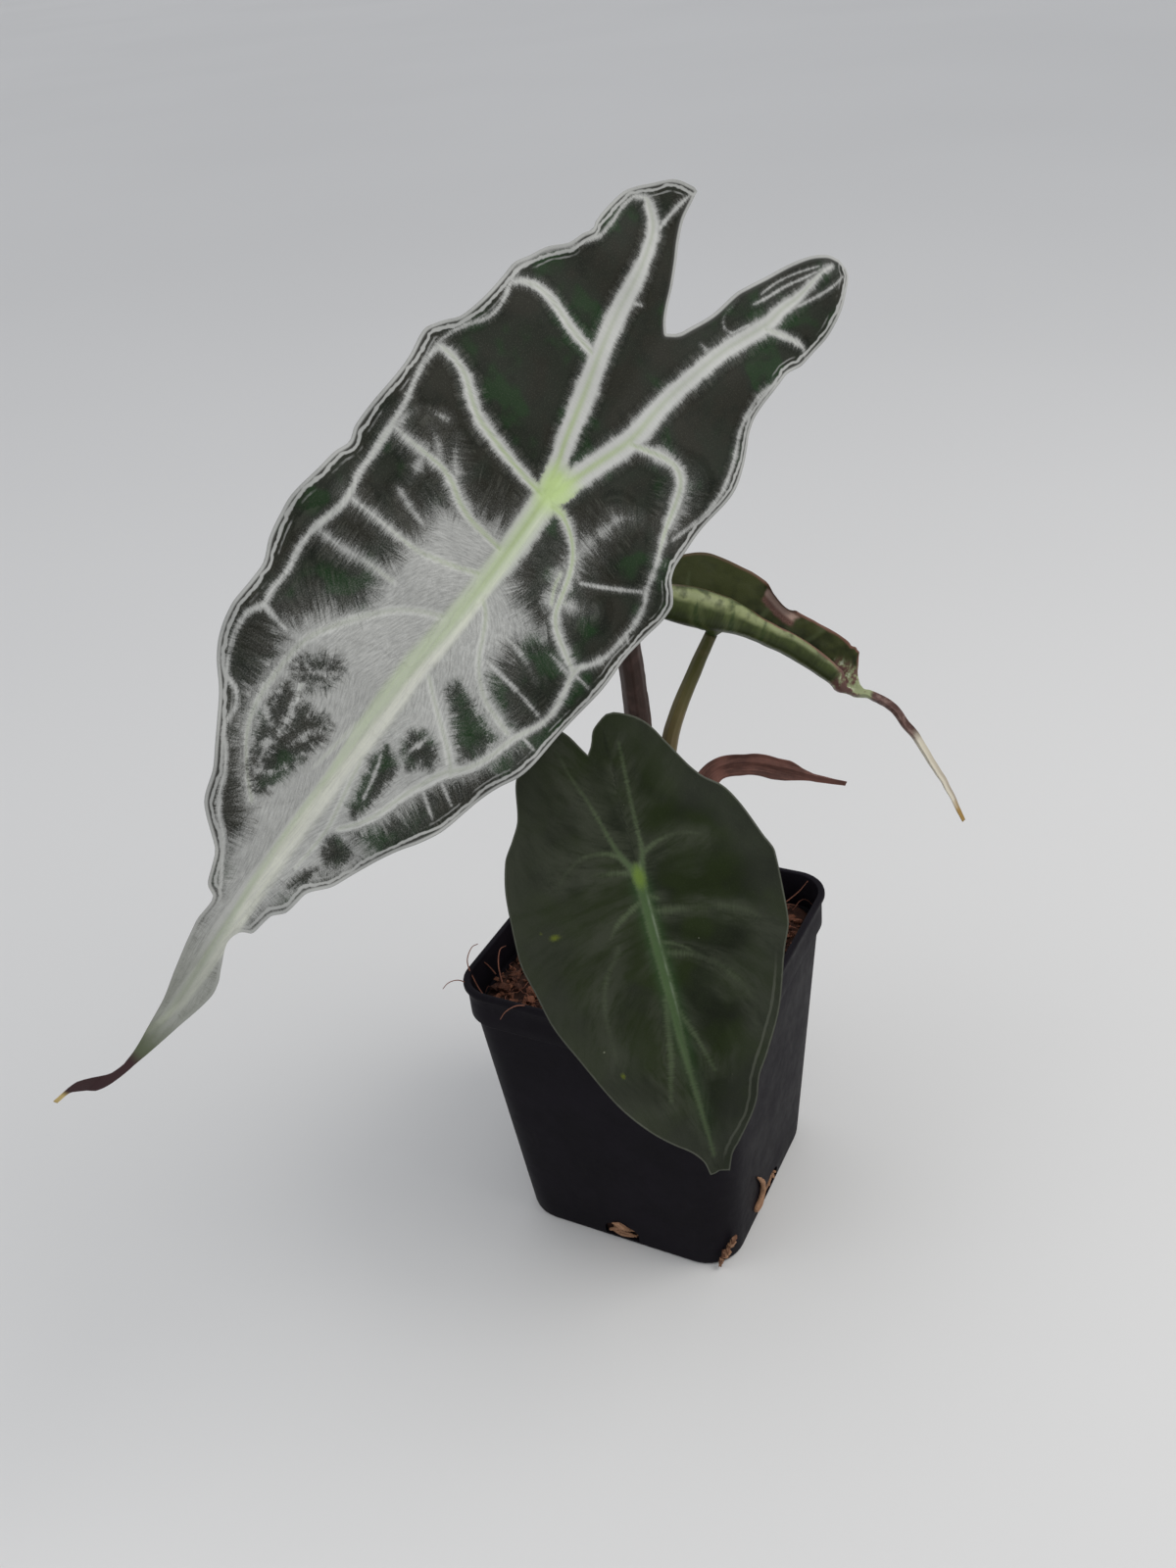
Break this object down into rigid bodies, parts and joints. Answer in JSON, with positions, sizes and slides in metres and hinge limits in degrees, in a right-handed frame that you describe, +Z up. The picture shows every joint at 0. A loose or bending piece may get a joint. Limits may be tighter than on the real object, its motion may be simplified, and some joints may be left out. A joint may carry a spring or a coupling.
{
  "type": "potted venom alocasia",
  "caption": "Arrow-leaved aroid in a square nursery pot: a large silver-veined leaf with a drip tip, a young dark leaf and a rolled leaf on stalks from a short stem in coco mix.",
  "frame": {"origin": "centre of the pot's underside", "axes": "+Z up; X and Y parallel to the sides of the square pot; the large leaf hangs towards -Y"},
  "size_m": [0.1499, 0.2163, 0.3176],
  "materials": {
    "pot": "satin",
    "potting_mix": "matte",
    "rhizome": "matte",
    "petiole_venom": "satin",
    "leaf_venom": "satin",
    "petiole_young": "satin",
    "leaf_young": "satin",
    "petiole_curled": "satin",
    "leaf_curled": "satin",
    "dry_sheath": "matte"
  },
  "bodies": {
    "root": {"pot": "pot", "potting_mix": "potting_mix", "rhizome": "rhizome", "petiole_venom": "petiole_venom", "leaf_venom": "leaf_venom", "petiole_young": "petiole_young", "leaf_young": "leaf_young", "petiole_curled": "petiole_curled", "leaf_curled": "leaf_curled", "dry_sheath": "dry_sheath"}
  },
  "joints": []
}
